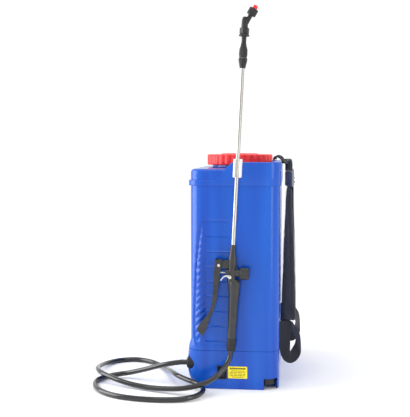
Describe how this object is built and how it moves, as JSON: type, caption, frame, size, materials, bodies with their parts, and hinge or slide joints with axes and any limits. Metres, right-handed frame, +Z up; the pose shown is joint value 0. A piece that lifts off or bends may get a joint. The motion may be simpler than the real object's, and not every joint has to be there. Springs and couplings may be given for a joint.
{
  "type": "backpack sprayer",
  "caption": "Battery knapsack sprayer: upright tank with screw lid and strainer, battery base, padded shoulder straps, hose, trigger handle and angled lance.",
  "frame": {"origin": "middle of the base's underside, on the floor", "axes": "+Z up; +X towards the wearer's back, where the straps are; -X the outer face with the hose outlet; -Y the side that carries the lance"},
  "size_m": [0.4817, 0.4995, 0.8367],
  "materials": {
    "tank_blue": "glossy moulded polyethylene",
    "lid_red": "satin moulded plastic",
    "black_plastic": "satin moulded plastic",
    "handle_charcoal": "satin moulded plastic",
    "clip_white": "satin moulded plastic",
    "strainer_white": "satin moulded plastic",
    "buckle_grey": "satin moulded plastic",
    "steel": "polished tube",
    "brass_mesh": "woven mesh",
    "hose_black": "glossy",
    "rubber_black": "matt",
    "webbing": "woven polypropylene",
    "label_yellow": "printed film",
    "battery_case": "matt moulded plastic"
  },
  "bodies": {
    "root": {"tank": "tank_blue", "tank_outlet": "black_plastic", "base_housing": "tank_blue", "bottom_plate": "tank_blue", "plate_screw_1": "steel", "plate_screw_2": "steel", "plate_screw_3": "steel", "plate_screw_4": "steel", "battery": "battery_case", "pump_head": "black_plastic", "pump_motor": "steel", "suction_hose": "hose_black", "pressure_hose": "hose_black", "hose_outlet": "black_plastic", "outlet_nut": "black_plastic", "switch_bezel": "black_plastic", "charge_socket": "black_plastic", "warning_label": "label_yellow", "hose": "hose_black", "lance_tube": "steel", "lance_clip": "clip_white", "tube_nut": "black_plastic", "head_nut": "black_plastic", "head_adapter": "black_plastic", "head_hex_nut": "black_plastic", "handle_body": "handle_charcoal", "trigger_pin": "steel", "valve_cap": "handle_charcoal", "valve_spring": "steel", "handle_filter": "brass_mesh", "hose_nut": "black_plastic", "strap_arch_right": "webbing", "strap_hanger_right": "webbing", "slide_buckle_right": "buckle_grey", "shoulder_pad_right": "webbing", "strap_loop_right": "webbing", "base_lug_right": "black_plastic", "strap_arch_left": "webbing", "strap_hanger_left": "webbing", "slide_buckle_left": "buckle_grey", "shoulder_pad_left": "webbing", "strap_loop_left": "webbing", "base_lug_left": "black_plastic"},
    "seal": {"lid_gasket": "rubber_black"},
    "lid_cap": {"lid": "lid_red"},
    "strainer": {"filter_basket": "strainer_white"},
    "rocker": {"switch_rocker": "black_plastic"},
    "cap": {"socket_cap": "rubber_black"},
    "elbow_head": {"elbow": "black_plastic"},
    "nozzle": {"nozzle_cap": "black_plastic", "nozzle_tip": "lid_red"},
    "trigger": {"trigger_lever": "handle_charcoal"},
    "stem": {"valve_stem": "steel"},
    "lock": {"lever_lock": "steel"}
  },
  "joints": [
    {"name": "lid_lift", "type": "slide", "parent": "root", "child": "seal", "axis": [0, 0, 1], "range_m": [0, 0.22]},
    {"name": "lid_turn", "type": "hinge", "parent": "seal", "child": "lid_cap", "pos_m": [0, 0, 0.5], "axis": [0, 0, 1], "range_deg": [0, 360]},
    {"name": "strainer_lift", "type": "slide", "parent": "root", "child": "strainer", "axis": [0, 0, 1], "range_m": [0, 0.11]},
    {"name": "switch_press", "type": "hinge", "parent": "root", "child": "rocker", "pos_m": [-0.0266, -0.182, 0.0377], "axis": [-1, 0, 0], "range_deg": [0, 16]},
    {"name": "socket_cap_open", "type": "hinge", "parent": "root", "child": "cap", "pos_m": [-0.1085, 0.06, 0.066], "axis": [0, 1, 0], "range_deg": [0, 120]},
    {"name": "elbow_swivel", "type": "hinge", "parent": "root", "child": "elbow_head", "pos_m": [0.02205, -0.208, 0.78817], "axis": [0.0489, 0, 0.9988], "range_deg": [-180, 180]},
    {"name": "nozzle_turn", "type": "hinge", "parent": "elbow_head", "child": "nozzle", "pos_m": [0.02284, -0.208, 0.79414], "axis": [0.512, 0, 0.859], "range_deg": [0, 360]},
    {"name": "trigger_pull", "type": "hinge", "parent": "root", "child": "trigger", "pos_m": [-0.03183, -0.208, 0.28019], "axis": [0, -1, 0], "range_deg": [0, 15], "stiffness_Nm_per_rad": 1.2, "springref_deg": -11.46},
    {"name": "stem_push", "type": "slide", "parent": "root", "child": "stem", "axis": [0.9988, 0, -0.0489], "range_m": [0, 0.0049]},
    {"name": "lock_swing", "type": "hinge", "parent": "root", "child": "lock", "pos_m": [-0.00803, -0.208, 0.255], "axis": [0, 1, 0], "range_deg": [0, 30]}
  ],
  "couplings": [
    {"joint": "strainer_lift", "follows": "lid_lift", "ratio": 0.5},
    {"joint": "stem_push", "follows": "trigger_pull", "m_per_rad": 0.0185}
  ]
}
